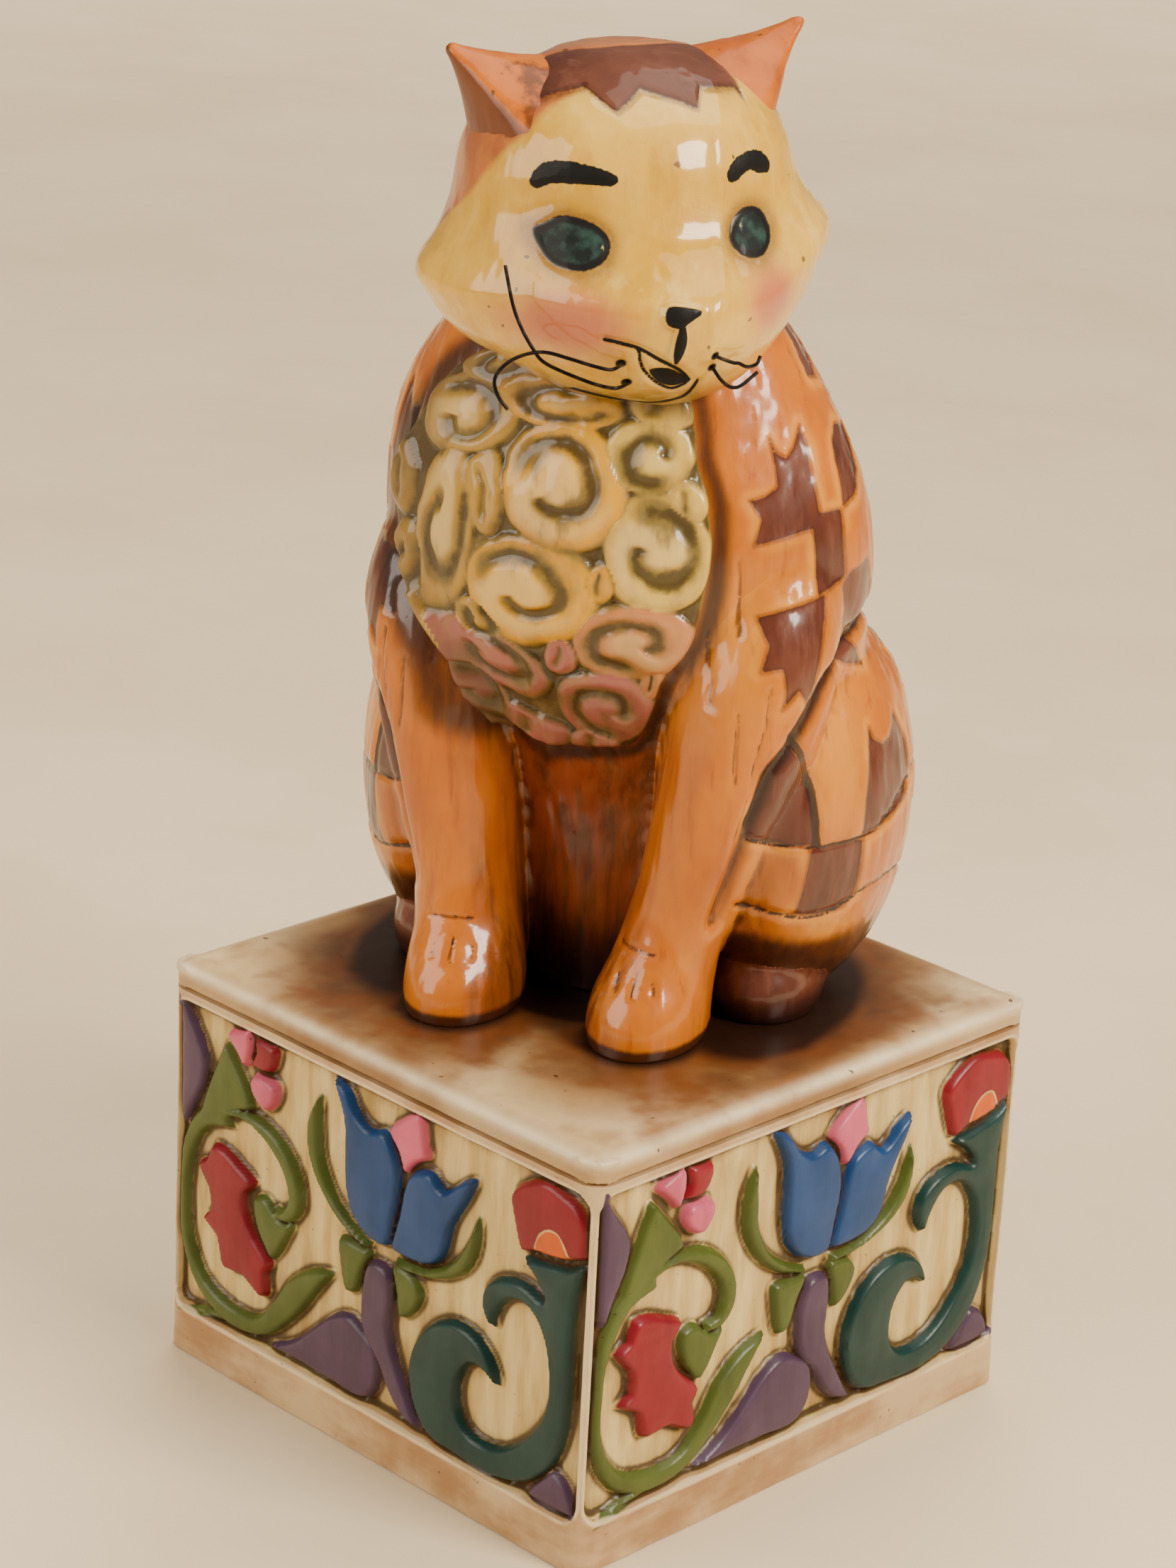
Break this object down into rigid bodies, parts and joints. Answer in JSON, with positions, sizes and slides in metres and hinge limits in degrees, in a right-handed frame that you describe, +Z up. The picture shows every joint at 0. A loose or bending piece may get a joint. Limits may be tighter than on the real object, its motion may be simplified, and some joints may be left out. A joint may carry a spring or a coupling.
{
  "type": "painted carved cat figure on a box plinth",
  "caption": "Seated cat carved and painted in patches, with a curled ruff and wire whiskers, on a square box plinth with floral relief panels.",
  "frame": {"origin": "centre of the plinth's underside, on the surface it stands on", "axes": "+Z up, -Y out of the front panel, +X out of the panel to its right as seen from above; the cat is turned from -Y towards +X"},
  "size_m": [0.105, 0.105, 0.2417],
  "materials": {
    "cream_wood": "antiqued paint under satin varnish",
    "orange_wood": "painted, gloss varnish",
    "gold_wood": "painted, gloss varnish",
    "rust_wood": "painted, gloss varnish",
    "ruff_wood": "antiqued paint, satin varnish",
    "bare_wood": "bare",
    "whisker_wire": "dark annealed wire",
    "screw_brass": "plain"
  },
  "bodies": {
    "root": {"plinth_top": "cream_wood", "panel_front": "cream_wood", "panel_right": "cream_wood", "panel_back": "cream_wood", "panel_left": "cream_wood", "plinth_bottom": "cream_wood", "corner_blocks": "bare_wood", "bottom_screws": "screw_brass", "body_screws": "screw_brass", "paw_dowels": "bare_wood", "torso": "orange_wood", "chest_ruff": "ruff_wood", "foreleg_left": "orange_wood", "foreleg_right": "orange_wood", "haunch_left": "orange_wood", "haunch_right": "orange_wood", "hind_paw_left": "rust_wood", "hind_paw_right": "rust_wood", "tail": "orange_wood", "tail_dowel": "bare_wood", "neck_dowel": "bare_wood", "head": "gold_wood", "ear_left": "orange_wood", "ear_right": "orange_wood", "ear_dowels": "bare_wood", "whisker_left_upper": "whisker_wire", "whisker_left_lower": "whisker_wire", "whisker_right_upper": "whisker_wire", "whisker_right_lower": "whisker_wire"}
  },
  "joints": []
}
